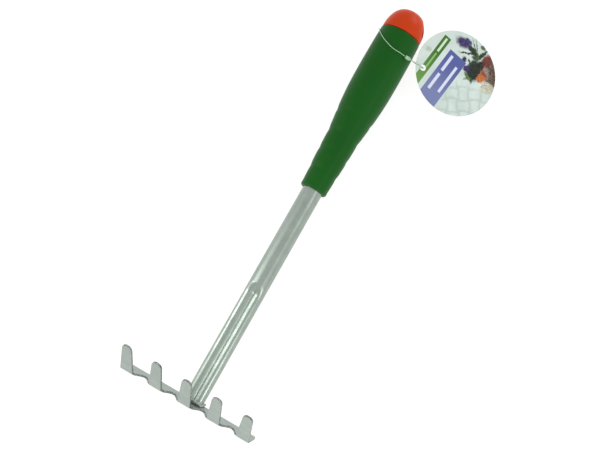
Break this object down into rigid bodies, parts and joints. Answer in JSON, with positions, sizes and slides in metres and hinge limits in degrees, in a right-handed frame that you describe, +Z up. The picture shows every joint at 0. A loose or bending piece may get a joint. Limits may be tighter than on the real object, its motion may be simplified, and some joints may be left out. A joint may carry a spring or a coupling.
{
  "type": "hand rake",
  "caption": "Hand rake with a folded steel head of short flat tines, a grooved tubular shaft, a moulded grip with an end cap, and a round tag on a nylon loop.",
  "frame": {"origin": "centre of the rake's box on the surface it lies on, leaving out the tag and its loop", "axes": "+Y along the shaft towards the grip, +X along the head, +Z up; the rake lies tines up, rolled 7 degrees onto the head's left corner"},
  "size_m": [0.143, 0.3608, 0.0548],
  "materials": {
    "zinc_steel": "satin zinc-plated steel",
    "weld_steel": "rough weld metal",
    "green_plastic": "satin green moulded plastic",
    "orange_plastic": "satin orange moulded plastic",
    "clear_nylon": "pale translucent nylon",
    "printed_card": "printed and varnished card"
  },
  "bodies": {
    "rake": {"tine_head": "zinc_steel", "shaft_tube": "zinc_steel", "weld_top": "weld_steel", "weld_left": "weld_steel", "weld_right": "weld_steel", "grip": "green_plastic", "end_cap": "orange_plastic"},
    "loop": {"tag_loop": "clear_nylon", "loop_lock": "clear_nylon", "loop_barb": "clear_nylon"},
    "tag": {"hang_tag": "printed_card"}
  },
  "joints": [
    {"name": "loop_turn", "type": "hinge", "parent": "rake", "child": "loop", "pos_m": [0.00213, 0.14083, 0.01802], "axis": [0.004, -0.9995, -0.0327], "continuous": true},
    {"name": "tag_swing", "type": "hinge", "parent": "loop", "child": "tag", "pos_m": [0.02984, 0.13836, 0.02203], "axis": [0.227, -0.9739, 0], "range_deg": [0, 50]}
  ]
}
